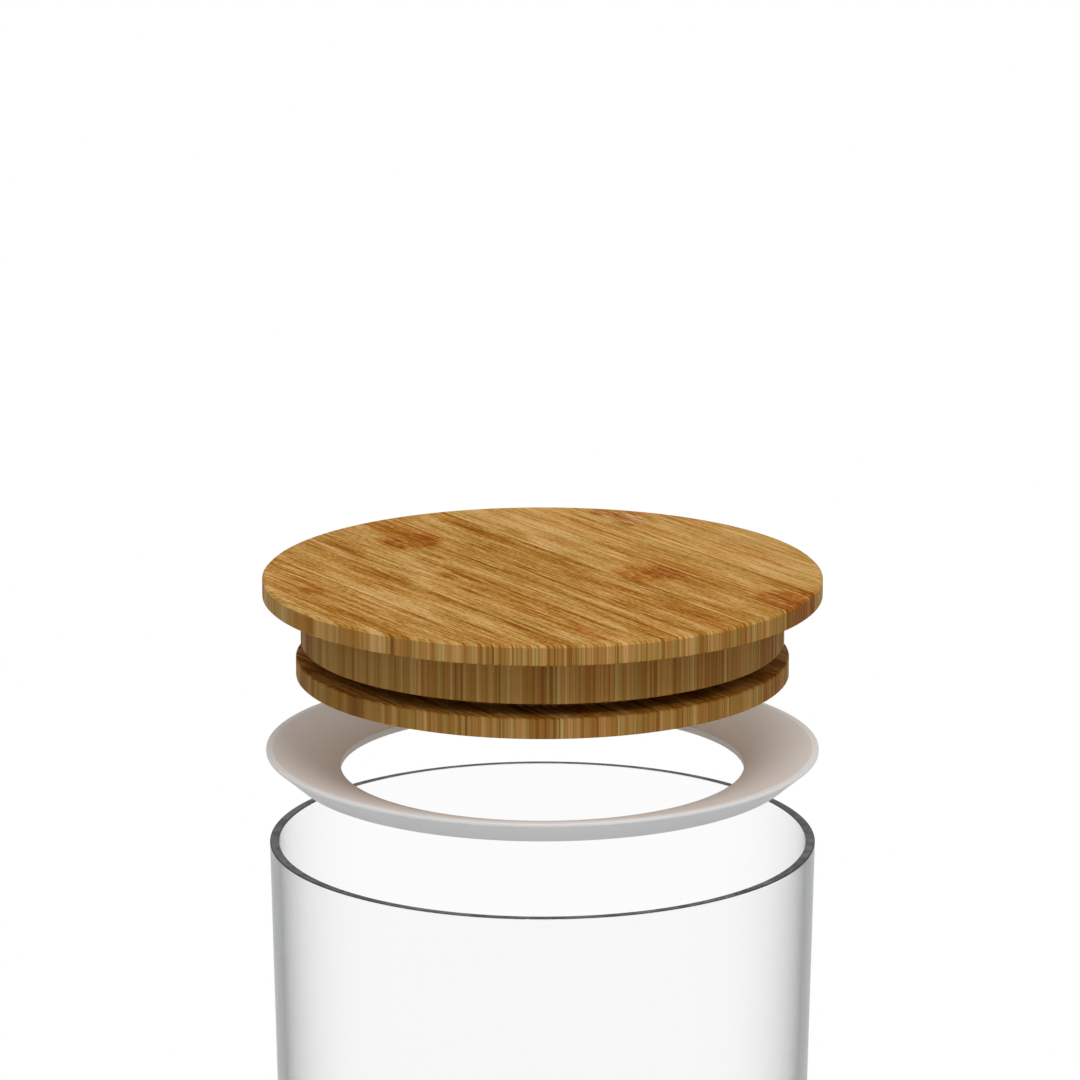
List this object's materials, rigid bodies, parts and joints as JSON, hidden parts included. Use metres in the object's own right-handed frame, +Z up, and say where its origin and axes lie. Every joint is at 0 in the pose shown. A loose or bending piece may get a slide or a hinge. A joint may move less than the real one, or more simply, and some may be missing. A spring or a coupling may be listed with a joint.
{
  "type": "sourdough starter jar",
  "caption": "Open glass jar with a stepped bamboo lid and a wide silicone seal that grips the mouth; the lid and seal are held apart above the jar.",
  "frame": {"origin": "middle of the jar's foot, on the surface that it stands on", "axes": "+Z up along the axis of the jar, lid and seal; the way across the lid's strips is 33.5 degrees from +X towards +Y"},
  "size_m": [0.1018, 0.1018, 0.1999],
  "materials": {
    "glass": "clear, with a flat rim and eased edges",
    "silicone": "satin, off-white silicone",
    "bamboo": "oiled laminated bamboo"
  },
  "bodies": {
    "jar": {"glass_jar": "glass"},
    "lid": {"lid_strip_1": "bamboo", "lid_strip_2": "bamboo", "lid_strip_3": "bamboo", "lid_strip_4": "bamboo", "lid_strip_5": "bamboo", "lid_strip_6": "bamboo", "lid_strip_7": "bamboo", "lid_strip_8": "bamboo", "lid_strip_9": "bamboo", "lid_strip_10": "bamboo"},
    "seal": {"silicone_seal": "silicone"}
  },
  "joints": [
    {"name": "lid_lift", "type": "slide", "parent": "jar", "child": "lid", "axis": [0, 0, 1], "range_m": [-0.04615, 0], "deforming": ["silicone_seal"]},
    {"name": "seal_pull", "type": "slide", "parent": "lid", "child": "seal", "axis": [0, 0, -1], "range_m": [-0.0222, 0], "deforming": ["silicone_seal"]}
  ]
}
